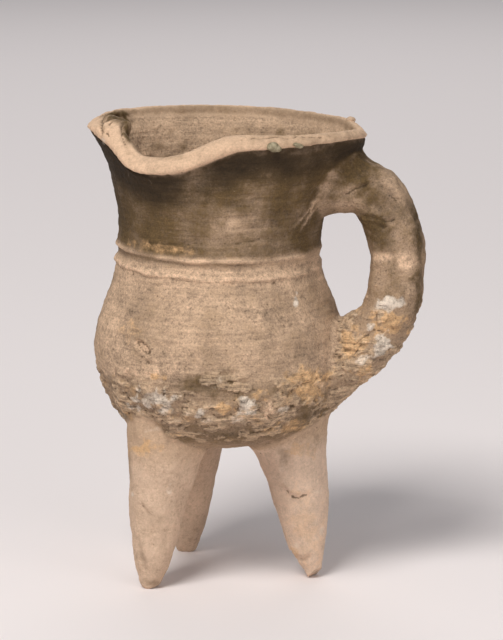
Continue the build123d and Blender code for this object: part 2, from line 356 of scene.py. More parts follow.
def look_round():
    """Measure azimuth, level and reach of every point again, and find it in the picture."""
    global azimuth, level, reach, picture, in_view
    azimuth = bearing(spot)
    level = spot[:, 2]
    reach = np.hypot(spot[:, 0], spot[:, 1])
    sight = spot / 1000 - np.array(CAMERA_PLACE)
    depth = sight @ ahead
    picture = np.stack((PICTURE[0] / 2 + zoom * (sight @ to_right) / depth,
                        PICTURE[1] / 2 - zoom * (sight @ to_top) / depth), axis=1)
    in_view = ramp(-(facing @ ahead), *FACES_CAMERA)


def around(centre, span):
    """A soft stripe up the wall at an azimuth."""
    return bell(apart(azimuth, centre), span)


# %% Make the strokes
SEED_STEP = 13.7
ROUGH_GAIN = 1.6
LINE_ENDS = (0.03, 0.97)


def lumpy(places, octaves):
    """Fractal noise at some places."""
    return np.fromiter((noise.fractal(place, 1, 2, octaves) for place in places.tolist()), float)


def rough(size, seed, octaves, stretch=(1, 1, 1)):
    """Uneven lumps of one size, from about -1 to 1."""
    return ROUGH_GAIN * lumpy(spot / (size * np.array(stretch)) + SEED_STEP * seed, octaves)


def oval_gap(across, along, wide, tall, lean):
    """0 in the middle of a leaning oval, 1 on its edge, more outside."""
    turn = math.radians(lean)
    first = (across * math.cos(turn) + along * math.sin(turn)) / wide
    second = (along * math.cos(turn) - across * math.sin(turn)) / tall
    return np.hypot(first, second)


def thumb(centre, height, wide, tall, lean=0):
    """A soft oval mark on the outside of the wall, at an azimuth and a level."""
    across = np.radians(apart(azimuth, centre)) * reach
    return bell(oval_gap(across, level - height, wide, tall, lean), 1) * outside


def oval(place, wide, tall, lean=0):
    """How far each point is from a place in the picture: 1 on the edge of an oval."""
    across, down = (picture - place).T
    return oval_gap(across, down, wide, tall, lean)


def dab(place, wide, tall, lean=0):
    """A soft oval in the picture, on skin that faces the camera."""
    return bell(oval(place, wide, tall, lean), 1) * in_view


def drawn(points, width, shake=1.0):
    """A shaky line through points of the picture, on skin that faces the camera. It fades at its ends."""
    place = picture + shake * shaky
    best = np.full(len(spot), np.inf)
    ran = np.zeros(len(spot))
    length = 0
    for start, end in zip(points[:-1], points[1:]):
        run = np.subtract(end, start)
        share = np.clip((place - start) @ run / (run @ run), 0, 1)
        gap = np.linalg.norm(place - start - share[:, None] * run, axis=1)
        ran = np.where(gap < best, length + share * np.linalg.norm(run), ran)
        best = np.minimum(best, gap)
        length += np.linalg.norm(run)
    strength = np.sqrt(np.sin(np.pi * np.clip(ran / length, *LINE_ENDS)))
    return strength * bell(best, width * pixels_per_mm) * in_view


def push(depth):
    """Move the skin along the way it faces."""
    global spot
    spot = spot + facing * depth[:, None]


def roughen(mask, depth, *grain):
    """Push the skin about by uneven lumps of some depth, size and seed."""
    push(depth * rough(*grain) * mask)


def draw_out(amount):
    """Move the skin straight out from the axis, or in."""
    spot[:, :2] += amount[:, None] * spot[:, :2] / np.maximum(reach, 1)[:, None]


def settle():
    """Write the moved points back, and find out which way the skin faces now."""
    global facing
    blank.data.vertices.foreach_set("co", (spot / 1000).astype(np.float32).ravel())
    blank.data.update()
    facing = read_points(blank, "facing")
    look_round()


# %% Mask the parts of the skin
ROUND_BELOW = 100
OUTSIDE_SPREAD = 4
WALL_SPREAD = 12
LIP_SPREAD = 6
HANDLE_SPREAD = 10
SHAKE = 1.6
SHAKE_SIZE = 5
SHAKE_SEEDS = (91, 92)
BREAK_SIZE = 4
BREAK_SEED = 93
BREAKS = (-0.55, 0.1)

look_round()
outwards = np.stack((spot[:, 0], spot[:, 1], np.minimum(level - ROUND_BELOW, 0)), axis=1)
outside = spread((np.einsum("ij,ij->i", outwards, facing) > 0).astype(float), OUTSIDE_SPREAD)
wall = spread(1 - any_limb, WALL_SPREAD)
shaky = np.stack([rough(SHAKE_SIZE, seed, 2) for seed in SHAKE_SEEDS], axis=1) * SHAKE
broken = ramp(rough(BREAK_SIZE, BREAK_SEED, 2), *BREAKS)
lip = spread(np.isin(member, LIP_MEMBERS).astype(float), LIP_SPREAD)
legs_only = any_limb - limb["handle"]
handle = spread(limb["handle"], HANDLE_SPREAD)
legs = spread(legs_only, HANDLE_SPREAD)
print("points to model:", len(spot))

# %% [markdown]
# ## Hand-made form
# The wall was raised by hand, so it is never quite round. The solids have its main swellings and tucks.
# Here they are run together, and fingers leave small hollows all over. The vessel also stands a little
# crooked: its left side draws in above the leg, inside and out, and the leg by the handle stands out.

# %% Slump the form
# Amounts are in mm, places round the wall in degrees, and levels in mm above the floor.
DRAWN_IN = 5.0
DRAWN_IN_AT = (201, 36)
DRAWN_IN_LEVELS = (56, 66, 80, 100)
DRAWN_IN_SPREAD = 70
BOTTOM_LIFT = 2.0
BOTTOM_LEVELS = (57, 74)
BOTTOM_SPREAD = 50
LEG_OUT = 1.7
LEG_OUT_LEVELS = (28, 66)
LEG_IN = 1.0
LEG_IN_LEVELS = (34, 58)
LEG_SPREAD = 30
GUSSET = 2.6
GUSSET_AT = (5, 14)
GUSSET_LEVELS = (178, 184, 188, 193)
# Depth, size, seed and octaves, here and below.
LUMPS = ((0.6, 55, 1, 2), (0.4, 19, 2, 2), (0.2, 7, 3, 2))
# Depth, then azimuth, level, width, height and lean.
SWELLINGS = ((0.9, 238, 99, 22, 7, 0), (-0.8, 246, 82, 20, 5, 8))

side = around(*DRAWN_IN_AT) * between(level, *DRAWN_IN_LEVELS) * (1 - legs_only)
draw_out(-DRAWN_IN * spread(side, DRAWN_IN_SPREAD))
bottom = (1 - ramp(level, *BOTTOM_LEVELS)) * (1 - legs_only)
spot[:, 2] += BOTTOM_LIFT * spread(bottom, BOTTOM_SPREAD) * wall
standing_out = spread(limb["leg_under_handle"], LEG_SPREAD) * (1 - ramp(level, *LEG_OUT_LEVELS))
spot += LEG_OUT * standing_out[:, None] * to_right
standing_in = spread(limb["leg_under_spout"], LEG_SPREAD) * ramp(level, *LEG_IN_LEVELS)
spot += LEG_IN * standing_in[:, None] * to_right
draw_out(GUSSET * around(*GUSSET_AT) * between(level, *GUSSET_LEVELS) * outside)
settle()
lump_masks = (wall * (1 - 0.6 * lip), 0.6 * wall * (1 - lip) + handle + 0.6 * legs,
              (1 - 0.5 * lip) * (1 - 0.5 * legs))
for mask, lumps in zip(lump_masks, LUMPS):
    roughen(mask, *lumps)
for depth, *mark_place in SWELLINGS:
    push(depth * thumb(*mark_place) * wall)
settle()
print("form slumped")

# %% [markdown]
# ## Cordons and turning lines
# Two raised lines run round the waist with a groove between them. The potter drew them up with two
# fingertips while the vessel turned slowly, so they wander, thin out and break. Above them a stick left
# a fine cut line. Wiping left shallow streaks all round the neck, the shoulder and the inside.

# %% Draw up the cordons
# Level, rise, relief and seed of each cordon.
CORDONS = ((144.1, 1.3, 1.25, 21), (136.8, 1.3, 1.15, 22))
CORDON_LEAN = 195
CORDON_SAG = 0.9
CORDON_SAG_AT = (278, 55)
CORDON_WANDER = 0.5
CORDON_LIFE = (0.35, 1.2)
CORDON_FADE = 0.55
CORDON_FADE_AT = (0, 40)
CREST_ABOVE = 2.1
CREST_BELOW = 0.75
# Level, rise and seed.
GROOVE = (140.4, 1.3, 23)
GROOVE_WIDTH = 2.4
GROOVE_DEPTH = 0.4
CUT_LINE = ((140, 234), (162, 240), (190, 244), (220, 245), (255, 241), (287, 235), (324, 231))
CUT_WIDTH = 0.55
CUT_DEPTH = 0.6
TURNED_LEVELS = (100, 112)
# Depth, size, seed, octaves and stretch of the streaks.
WIPING = ((0.16, 2.6, 26, 2, (14, 14, 1)), (0.12, 7, 27, 2, (9, 9, 1)))


def ring(height, rise, seed):
    """How far each point is above a line that runs round the wall, leans and wanders."""
    lean = rise * np.cos(np.radians(azimuth - CORDON_LEAN))
    sag = CORDON_SAG * around(*CORDON_SAG_AT)
    return level - height - lean + sag - CORDON_WANDER * rough(14, seed, 2, (1, 1, 4))


trunk = outside * wall * (1 - handle) * (1 - lip)
cordon_crest = np.zeros(len(spot))
for height, rise, relief, seed in CORDONS:
    above = ring(height, rise, seed)
    life = np.clip(0.95 + 0.4 * rough(11, seed + 5, 2, (1, 1, 6)), *CORDON_LIFE)
    life *= 1 - CORDON_FADE * around(*CORDON_FADE_AT)
    shape = bell(above, np.where(above > 0, CREST_ABOVE, CREST_BELOW)) * life * trunk
    push(relief * shape)
    cordon_crest = np.maximum(cordon_crest, shape)
groove = bell(ring(*GROOVE), GROOVE_WIDTH) * trunk
push(-GROOVE_DEPTH * groove)
cut = drawn(CUT_LINE, CUT_WIDTH) * trunk * broken
push(-CUT_DEPTH * cut)
turned = ramp(level, *TURNED_LEVELS) * wall * (1 - lip) * (1 - handle)
for streaks in WIPING:
    roughen(turned, *streaks)
settle()
print("cordons drawn")

# %% [markdown]
# ## The lip and its fold
# The lip is one coil, wetted and rounded between finger and thumb, thick at the spout and thin elsewhere.
# At the far left its end was folded over and pinched to a point, which left wrinkles. By the handle
# the rim ends in a blunt corner. The rim is nicked, and a fine crack runs along its top where the coil
# was not quite closed against the wall.

# %% Measure the lip
BIN = 4
band = read_points(nodes["lip_band"])
band_turn = bearing(band)
bins = np.arange(0, 360, BIN)
rows = [band[np.abs(apart(band_turn, turn)) < 0.75 * BIN] for turn in bins]


def along_lip(measure):
    """A measure of the lip band at the azimuth of every point."""
    return np.interp(azimuth, bins, [measure(row) for row in rows], period=360)


lip_reach = along_lip(lambda row: np.hypot(row[:, 0], row[:, 1]).mean())
lip_low = along_lip(lambda row: row[:, 2].min())
lip_high = along_lip(lambda row: row[:, 2].max())
lip_share = (level - lip_low) / (lip_high - lip_low)
print("lip from", round(band[:, 2].min(), 1), "to", round(band[:, 2].max(), 1), "mm")

# %% Pinch the lip
FOLD = ((113, 121), 17, 13)
FOLD_LUMPS = (0.4, 3.6, 31, 2)
LIP_LUMPS = (0.22, 14, 32, 2)
INNER_FOLD_AT = (188, 198, 212, 226)
INNER_FOLD_LEVELS = (184, 191)
INNER_CREST_LEVELS = (193, 198)
INNER_FOLD = 2.2
INNER_CREST = 1.6
# Drop, azimuth and span of the end and the middle of the pouring lip.
SPOUT_DROPS = ((3.3, 237, 10), (1.0, 256, 12))
SPOUT_SHARES = (-0.5, 0.6)
SPOUT_LEVELS = (168, 175)
FOLD_TOP = 196
FOLD_TOP_AT = (206, 22)
FOLD_TOP_LEVELS = (196, 197.5)
FOLD_PRESS = 0.55
FOLD_TIP = (-51.6, -22.8, 195.8)
PINCH = 0.72
PINCH_REACH = (48.5, 54.5)
PINCH_LEVELS = (187, 191)
DROOP = 1.9
DROOP_AT = (9, 15)
DROOP_LEVELS = (184, 191)
CORNER = (62.9, 13.5, 190.2)
CORNER_SIZE = 5.0
CORNER_PULL = 0.6
UNDERCUT = 0.9
UNDERCUT_SHARE = (0.02, 0.12)

fold = dab(*FOLD) * lip
inner_fold = between(azimuth, *INNER_FOLD_AT) * ramp(level, *INNER_FOLD_LEVELS) * (1 - outside) * lip
inner_crest = inner_fold * ramp(level, *INNER_CREST_LEVELS)
push(INNER_FOLD * inner_fold + INNER_CREST * inner_crest)
spout_end = sum(drop * around(*at) for drop, *at in SPOUT_DROPS)
spot[:, 2] -= spout_end * ramp(lip_share, *SPOUT_SHARES) * ramp(level, *SPOUT_LEVELS)
fold_top = around(*FOLD_TOP_AT) * ramp(level, *FOLD_TOP_LEVELS)
spot[:, 2] -= FOLD_PRESS * fold_top * (spot[:, 2] - FOLD_TOP)
roughen(fold, *FOLD_LUMPS)
pinch = PINCH * ramp(-(spot @ to_right), *PINCH_REACH) * ramp(level, *PINCH_LEVELS)
spot = spot + (FOLD_TIP - spot) * pinch[:, None]
spot[:, 2] -= DROOP * around(*DROOP_AT) * ramp(level, *DROOP_LEVELS)
corner = CORNER_PULL * bell(np.linalg.norm(spot - CORNER, axis=1), CORNER_SIZE)
spot = spot + (CORNER - spot) * corner[:, None]
roughen(lip, *LIP_LUMPS)
undercut = bell(lip_share + UNDERCUT_SHARE[0], UNDERCUT_SHARE[1])
push(-UNDERCUT * undercut * outside * ramp(reach - lip_reach, -1, 1))
settle()
print("fold pinched")

# %% Crease the fold
# Points in the picture, width and depth. The raised one is the roll of the hood.
FOLD_CREASES = (
    (((102, 137), (101, 129), (102, 121), (106, 114.5), (112, 111)), 0.8, -1.5),
    (((108, 131), (109, 123), (114, 118.5), (120, 119), (123, 125), (123.5, 135), (126, 146),
      (133, 154)), 0.6, -1.0),
    (((133, 154), (148, 158.5), (165, 160), (183, 158.5), (198, 155)), 0.5, -0.5),
    (((105.5, 131), (106, 121), (112, 114.5), (119, 113.5), (126, 117), (128, 126)), 1.2, 1.1),
    (((103, 124), (106, 121.5), (109, 119)), 0.5, -0.8),
    (((109, 117), (112, 115), (113, 111)), 0.5, -0.8),
    (((117, 117), (119, 114.5), (119, 111)), 0.5, -0.8),
    (((103, 131), (107, 132), (110, 136)), 0.6, -0.9),
    (((122, 117), (126, 116), (129, 118)), 0.5, -0.7),
)
DEEPEST_CREASE = 1.5
RIM_CRACK = ((226, 144), (240, 140), (255, 138), (275, 137), (300, 136.5), (330, 136.5), (350, 134))
RIM_CRACK_WIDTH = 0.5
RIM_CRACK_DEPTH = 0.8

wrinkled = np.zeros(len(spot))
for crease, width, depth in FOLD_CREASES:
    line = drawn(crease, width) * lip
    push(depth * line)
    wrinkled = np.maximum(wrinkled, line * max(-depth, 0) / DEEPEST_CREASE)
rim_crack = drawn(RIM_CRACK, RIM_CRACK_WIDTH) * lip * broken
push(-RIM_CRACK_DEPTH * rim_crack)
settle()
print("creases in the fold:", len(FOLD_CREASES))

# %% Nick the rim
NICKS = 60
NICK_SEED = 7
NICK_SIZES = (0.6, 1.7)
NICK_DEPTH = 0.25
NICK_LIP = 0.7
NICK_FACING = -0.6
draw = np.random.default_rng(NICK_SEED)
rim_points = np.nonzero((lip > NICK_LIP) & (facing[:, 2] > NICK_FACING))[0]
for number in draw.choice(rim_points, NICKS, replace=False):
    size = draw.uniform(*NICK_SIZES)
    push(-NICK_DEPTH * size * bell(np.linalg.norm(spot - spot[number], axis=1), size))
settle()
print("nicks in the lip:", NICKS)

# %% [markdown]
# ## Scars, smears and wear
# The belly has an almond-shaped scar with a raised edge, a dent below it and a thin flake that stands
# proud. Fingers smeared the slip up from the handle on to the neck. The handle was lapped over itself
# near its crest. Each leg was pared with long strokes, and the feet are chipped.

# %% Scar and smear the clay
# Place in the picture, half length, half width and lean.
SCAR = ((143, 347.5), 10.5, 4.6, 47)
SCAR_DEPTH = 1.1
SCAR_EDGE = (0.75, 1.1)
SCAR_RIM = 0.6
SCAR_RIM_AT = 1.3
SCAR_RIM_WIDTH = 0.3
# Azimuth, level, width, height, lean and depth.
DENTS = (
    (226, 116, 3, 2, 0, -0.5), (262, 149.5, 9, 3.0, 0, -0.45), (272, 148.5, 6, 2.2, 10, 0.35),
    (282, 112, 7, 4, 15, -0.4), (336, 108, 4, 7, 10, -0.6), (214, 121, 6, 3, -10, -0.4),
    (249.2, 102, 2.2, 1.5, -20, -1.0), (326.2, 125.5, 1.2, 5.2, 8, 0.6), (302, 122, 3.4, 2.6, 20, 0.4),
    (40, 112, 6, 3, 20, -0.5), (95, 118, 4, 3, -15, -0.6), (150, 108, 7, 3, 10, -0.4),
)
SMEARS = (
    ((326, 186), (316, 198), (304, 213), (292, 226)), ((320, 190), (311, 202), (307, 220)),
    ((331, 180), (321, 190), (308, 205)), ((316, 205), (306, 216), (298, 229)),
)
SMEAR_SHAKE = 0.25
SMEAR_WIDTH = 0.7
SMEAR_DEPTH = 0.3
# The ridge beside a smear: how many pixels away, how wide and how high.
RIDGE_BESIDE = (2.2, 1.4)
RIDGE_WIDTH = 0.5
RIDGE_HEIGHT = 0.25

edge = oval(*SCAR)
hollowed = -SCAR_DEPTH * (1 - ramp(edge, *SCAR_EDGE))
raised = SCAR_RIM * bell(edge - SCAR_RIM_AT, SCAR_RIM_WIDTH)
push((hollowed + raised) * in_view * outside)
for *place, depth in DENTS:
    push(depth * thumb(*place))
smeared = np.zeros(len(spot))
for smear in SMEARS:
    ridge = drawn(np.array(smear) + RIDGE_BESIDE, RIDGE_WIDTH, SMEAR_SHAKE) * outside
    push(-SMEAR_DEPTH * drawn(smear, SMEAR_WIDTH, SMEAR_SHAKE) * outside + RIDGE_HEIGHT * ridge)
    smeared = np.maximum(smeared, ridge)
print("dents:", len(DENTS), "smears:", len(SMEARS))

# %% Lap the handle and crease the legs
LAPS = (
    ((331, 201), (340, 196), (348, 193), (360, 187), (371, 183), (379, 179)),
    ((381, 187), (387, 191), (392, 196), (400, 203)),
    ((366, 216), (377, 219), (386, 221), (394, 220), (400, 211)),
    ((372, 223), (380, 227), (390, 226)),
    ((357, 341), (366, 337), (374, 331), (385, 333)),
    ((352, 358), (360, 348), (362, 338)),
)
LAP_DEPTH = 1.1
LAP_WIDTH = 0.75
LAP_SHAKE = 0.5
LAP_RIDGE = (1.5, -4.5)
SEAM = ((340, 318), (342, 328), (343, 340), (344, 352), (340, 366))
SEAM_WIDTH = 1.3
# Points in the picture, width, depth, and how far the clay bulges above.
LEG_CREASES = (
    (((276, 482), (284, 490), (291, 497), (300, 498), (314, 493)), 1.7, -2.0, 1.5),
    (((138, 504), (145, 511), (151, 519)), 0.8, -1.0, 0.5),
    (((153, 521), (154, 535), (152, 552)), 0.7, -0.6, 0.2),
    (((138, 541), (142, 558), (148, 572)), 1.0, -1.1, 0.5),
    (((293, 556), (301, 560), (310, 558)), 0.9, -1.0, 0.6),
    (((297, 512), (303, 524), (310, 538)), 0.7, -0.6, 0.4),
)
BULGE_ABOVE = (0, -7)
BULGE_WIDTH = 2.6
GRIP_MIDDLE = (50, 135)
GRIP_RADIUS = 34
GRIP_STRETCH = 7
GRIP_GRAIN = 3.2
GRIP_STREAKS = 0.28
GRIP_LUMPS = (0.4, 10, 41, 2)
PARING = (0.2, 4.5, 42, 2, (1, 1, 6))
LEG_LUMPS = (0.22, 8, 44, 2)

cracks = wrinkled + rim_crack + 0.7 * cut
for lap in LAPS:
    line = drawn(lap, LAP_WIDTH, LAP_SHAKE) * handle
    ridge = drawn(np.array(lap) + LAP_RIDGE, 1.8) * handle
    push(-LAP_DEPTH * line * (0.6 + 0.4 * broken) + 0.5 * ridge)
    cracks += 0.7 * line * (0.4 + 0.6 * broken)
seam = drawn(SEAM, SEAM_WIDTH)
push(-seam)
for crease, width, depth, bulge in LEG_CREASES:
    line = drawn(crease, width) * legs
    above = drawn(np.array(crease) + BULGE_ABOVE, BULGE_WIDTH) * legs
    push(depth * line * (0.6 + 0.4 * broken) + bulge * above)
grip_out, grip_up = spot[:, 0] - GRIP_MIDDLE[0], level - GRIP_MIDDLE[1]
grip_run = np.arctan2(grip_up, grip_out) * GRIP_RADIUS / GRIP_STRETCH
grip_places = np.stack((np.hypot(grip_up, grip_out), spot[:, 1], grip_run), axis=1) / GRIP_GRAIN
push(GRIP_STREAKS * lumpy(grip_places, 3) * handle)
roughen(handle, *GRIP_LUMPS)
roughen(legs, *PARING)
roughen(legs, *LEG_LUMPS)
settle()
print("laps:", len(LAPS), "creases in the legs:", len(LEG_CREASES))

# %% Chip the feet
# Place on the break, the way the break faces, and how far it reaches.
CHIPS = (
    ((37.6, -2.6, 4.2), (-0.83, -0.18, -0.53), 10),
    ((43.4, -1.5, 3.2), (0.62, -0.25, -0.74), 9),
    ((-24.5, -35.0, 0.8), (-0.3, -0.6, -0.75), 6),
    ((-22.3, 36.0, 2.6), (-0.2, 0.75, -0.6), 8),
)
for place, way, size in CHIPS:
    way = np.array(way) / np.linalg.norm(way)
    over = (spot - place) @ way - 0.25 * rough(2.5, 43, 2)
    close = np.linalg.norm(spot - place, axis=1) < size
    spot = spot - np.where((over > 0) & close, over, 0)[:, None] * way
spot[:, 2] = np.maximum(spot[:, 2], 0)
settle()
print("chips:", len(CHIPS))

# %% [markdown]
# ## Burial crust and pits
# Lime and earth set hard on the lower belly and the lower handle, in plates with ragged edges. All over
# the skin, straw and grit burnt out or washed away and left pits. Crust and pits are modelled here and
# kept as masks too, because the finish needs to know where they are.

# %% Set the crust
CRUST_TOP = 95
CRUST_FADE = (7, 5)
CRUST_BOTTOM = (62, 72)
CRUST_HIGH_AT = 320
CRUST_WAVE = 5
CRUST_TILT = 3
# Size, seed, octaves and stretch of the lumps.
CRUST_WAVES = (26, 51, 3)
PLATES = (9, 52, 4, (1.5, 1.5, 0.8))
SMALL_PLATES = (3.4, 53, 3, (1.4, 1.4, 0.8))
CRACKS = (7, 54, 3, (2.0, 2.0, 0.9))
TORN = (3.2, 56, 3)
CRACK_WIDTH = 0.09
GRIP_CRUST = (114, 134)
PLATE_EDGES = (-0.02, 0.2)
PLATE_HEIGHT = 0.55
CRUST_CREASE = 0.35
CRUST_GRAIN = (0.36, 2.6, 55, 3, (2.2, 2.2, 0.8))
# Place in the picture, half width, half height, thickness and lean of the flaps.
FLAPS = (
    (224, 408, 13, 6.5, 1.1, -20), (248, 406, 10, 8, 0.9), (269, 410, 8, 5.5, 1.0, -45),
    (258, 396, 8, 5.5, 0.6), (154, 401, 24, 10, 0.6, 10), (123, 370, 7.5, 5, 0.7), (153, 371, 13, 5, 0.5),
    (309, 393, 13, 8, 0.6, 20), (391, 304, 12, 7, 0.5), (384, 344, 8, 8, 0.6, 20), (389, 321, 14, 10, 0.4),
    (190, 412, 14, 5, 0.7),
)
FLAP_EDGE = (0.7, 1.1)
TUCK_DEPTH = 0.8
TUCK_WIDTH = 1.8
TUCK = ((114, 373), (122, 381), (132, 388), (140, 391))
HOLES = ((249, 423), (253, 434), (243, 431), (262, 437), (293, 406), (299, 411), (286, 413))
HOLE_SHAPE = (3.2, 1.6, -15)

crust_tilt = CRUST_TILT * np.cos(np.radians(apart(azimuth, CRUST_HIGH_AT)))
crust_level = CRUST_TOP + CRUST_WAVE * rough(*CRUST_WAVES) + crust_tilt
low_wall = 1 - ramp(level, crust_level - CRUST_FADE[0], crust_level + CRUST_FADE[1])
low_wall *= ramp(level, *CRUST_BOTTOM) * outside * wall * (1 - legs)
low_grip = (1 - ramp(level, *GRIP_CRUST)) * handle
ground = np.clip(low_wall + low_grip, 0, 1)
lumps = rough(*PLATES) + 0.5 * rough(*SMALL_PLATES)
plates = ramp(lumps, *PLATE_EDGES)
creases = bell(rough(*CRACKS), CRACK_WIDTH)
crust = ground * plates
push(PLATE_HEIGHT * crust)
push(-CRUST_CREASE * creases * ground)
roughen(ground, *CRUST_GRAIN)
torn = 0.5 * rough(*TORN)
for x, y, wide, tall, height, *lean in FLAPS:
    flap = 1 - ramp(oval((x, y), wide, tall, *lean) + torn, *FLAP_EDGE)
    push(height * flap * in_view * (outside * wall + handle))
push(-TUCK_DEPTH * drawn(TUCK, TUCK_WIDTH) * wall)
for hole in HOLES:
    push(-dab(hole, *HOLE_SHAPE) * wall)
settle()
print("flaps:", len(FLAPS), "holes:", len(HOLES))

# %% Pit the skin
PITS = 1500
PIT_SEED = 11
PIT_SIZES = (0.45, 1.15)
PIT_REACH = 2.2
PIT_DEPTH = 0.5
SKIN_GRAIN = (0.10, 1.9, 61, 2)
draw = np.random.default_rng(PIT_SEED)
tree = plant(spot)
pits = np.zeros(len(spot))
for number in draw.integers(0, len(spot), PITS):
    size = PIT_SIZES[0] + (PIT_SIZES[1] - PIT_SIZES[0]) * draw.random() ** 2
    for _, other, gap in tree.find_range(spot[number].tolist(), PIT_REACH * size):
        pits[other] = max(pits[other], math.exp(-((gap / size) ** 2)) * min(1.0, size))
push(-PIT_DEPTH * pits)
roughen(1, *SKIN_GRAIN)
spot[:, 2] = np.maximum(spot[:, 2], 0)
settle()
print("pits:", PITS)

# %% [markdown]
# ## Where the colour lies
# The old surface is a buff clay that smoke has greyed on the neck and the handle. Crests and edges are
# rubbed pale, and the cordon crests also carry a painted highlight. Hollows, pits and cracks are darker.
# Painted shade lies under the lip with some real soot, under the belly, down the handle's right side and
# around the handle's roots, and the leg under the handle is painted lighter as if lit. Those states are
# worked out once, point by point, from the shape and the place, so that the colour runs on over the joints
# without a break.

# %% Work out the states of the skin
# Levels in mm between which a state sets in, and wanes again. The painted shade and soot under the lip are
# measured down from the lip.
INSIDE_ABOVE = (60, 70)
NECK_SMOKE = (137, 147)
BELLY_SMOKE = (70, 110, 130, 140)
BOTTOM_PAINTED_SHADE_AND_SMOKE = (62, 82)
HANDLE_SMOKE = (106, 142)
LEG_CLAY_BELOW = (50, 72)
SHADE_AND_SOOT_BELOW_LIP = (4, 24)
SPOUT_SHADE_AND_SOOT = (146, 158)
# Azimuth and span.
SPOUT_SHADE_AND_SOOT_AT = (206, 30)
# The worn place on the neck: azimuth, level, width and height.
WORN_NECK = (292, 163, 22, 15)
WORN_WAIST = (300, 150, 24, 6)
# Columns of the picture between which the lip goes dull.
LIP_DULLS = (225, 290)
# Place in the picture, half width, half height, strength and lean.
PATCHES = {
    "smoke_and_painted_shade": (
        # Three of these are painted shade: (419, 265) down the handle's right side, and (312, 408) under
        # the handle's lower root and (350, 172) between the neck and the handle, both laid over smoke
        # film.
        (382, 238, 10, 14, 0.28), (312, 408, 24, 16, 0.3), (205, 385, 28, 13, 0.35),
        (419, 265, 6, 48, 0.45), (350, 172, 32, 18, 0.42, -38), (367, 222, 12, 10, 0.35, 20),
        (305, 141, 60, 9, 0.38), (169.5, 133, 4, 5, 0.4), (158, 147, 9, 4, 0.4), (185, 146, 6, 4, 0.4),
        (117, 116, 13, 5, 0.55), (127, 134, 3.5, 18, 0.5, -4), (316, 573, 7, 5, 0.6, -35),
        (154, 584, 8, 4, 0.35), (142, 556, 4, 12, 0.3, -12), (104, 128, 3, 7, 0.5),
        (165, 158, 30, 2.5, 0.35), (390, 205, 26, 16, 0.25, 50), (128, 468, 4, 16, 0.35),
        (284, 457, 7, 12, 0.35, -25), (133, 556, 3, 22, 0.3, -8), (152, 519, 14, 8, 0.14, 30),
        (300, 500, 16, 4, 0.22), (398, 285, 16, 12, 0.25),
    ),
    "pale": (
        (269, 410, 8, 6, 0.9, -45), (123, 370, 9, 6, 0.7), (153, 371, 14, 6, 0.6), (410, 262, 10, 8, 0.8),
        (385, 257, 13, 4.5, 0.6), (258, 315, 6, 5, 0.5), (143, 347.5, 9, 4, 0.9, 47),
        (240, 222, 20, 10, 0.3), (395, 192, 16, 13, 0.45, 40), (112, 340, 14, 30, 0.35),
        # The long patch down the leg under the handle is painted light over paler clay.
        (305, 530, 18, 45, 0.6), (350, 188, 9, 6, 0.35, -30),
    ),
    "ochre": (
        (224, 408, 15, 8, 1.0, -20), (258, 396, 9, 6, 0.9), (160, 377, 8, 4, 0.9),
        (389, 321, 19, 13, 0.95), (354, 345, 13, 19, 0.85), (309, 393, 15, 10, 0.7, 20),
        (165, 249, 34, 6, 0.5, 8), (306, 378, 20, 11, 0.6), (130, 331, 12, 10, 0.45),
        (150, 447, 18, 5, 0.5), (185, 418, 16, 5, 0.5), (292, 425, 16, 8, 0.5), (270, 430, 12, 5, 0.5),
        (366, 370, 12, 6, 0.6, -30), (141, 449, 12, 8, 0.55), (303, 452, 14, 9, 0.5),
        (295, 553, 5, 8, 0.6),
    ),
    "lime": (
        (154, 401, 27, 12, 0.85, 10), (248, 406, 11, 9, 0.95), (284, 409, 8, 4, 0.7, -20),
        (200, 413, 10, 4, 0.6, -8), (391, 304, 14, 8, 1.0), (370, 327, 6, 5, 0.9),
        (384, 344, 9, 10, 0.95, 20), (362, 360, 11, 6, 0.75, -10), (296, 300, 3, 10, 0.9, -8),
        (104, 142, 2, 4, 0.7), (232, 419, 10, 4, 0.5), (150, 430, 8, 5, 0.4), (132.5, 495, 2, 3, 0.8),
        (170, 485, 3, 7, 0.5, 15), (318, 492, 7, 4, 0.5), (322, 531, 3, 4, 0.6), (283, 470, 4, 3, 0.5),
        (297, 545, 4, 6, 0.5),
    ),
}
SOFT_PATCHES = ("smoke_and_painted_shade", "pale")
PATCH_EDGE = (0.5, 1.25)
PATCH_BLUR = 0.5
WIPES_SMOKE = 0.8

sag = average(spot) - spot
hollow = np.einsum("ij,ij->i", spread(sag, 2), facing)
hollow_wide = np.einsum("ij,ij->i", spread(average(spread(spot, 14)) - spot, 1), facing)
inside = (1 - outside) * wall * ramp(level, *INSIDE_ABOVE)
patchy = rough(17, 71, 4)
on_lip = lip * ramp(lip_share, 0.0, 0.14)
dull_lip = ramp(picture[:, 0], *LIP_DULLS) * in_view
lip_inner = on_lip * (1 - ramp(reach - lip_reach, -2.2, -0.4)) * ramp(lip_share, 0.1, 0.3)
front_light = thumb(*WORN_NECK) + 0.6 * thumb(*WORN_WAIST)
bright = np.clip(cordon_crest + 0.8 * smeared, 0, 1)
film_and_painted_shade = trunk * ramp(level, *NECK_SMOKE) * (0.9 + 0.16 * patchy - 0.26 * front_light) * (1 - 0.8 * bright)
film_and_painted_shade += trunk * between(level, *BELLY_SMOKE) * (0.24 + 0.2 * patchy)
# Painted shade under the belly, in the colour of the smoke film.
film_and_painted_shade += outside * wall * (1 - legs) * (1 - ramp(level, *BOTTOM_PAINTED_SHADE_AND_SMOKE)) * 0.5
film_and_painted_shade += handle * ramp(level, *HANDLE_SMOKE) * (0.50 + 0.2 * patchy)
film_and_painted_shade += inside * (0.16 + 0.16 * patchy) + 0.4 * ground * (1 - plates) + 0.10 * legs * (1 + patchy)
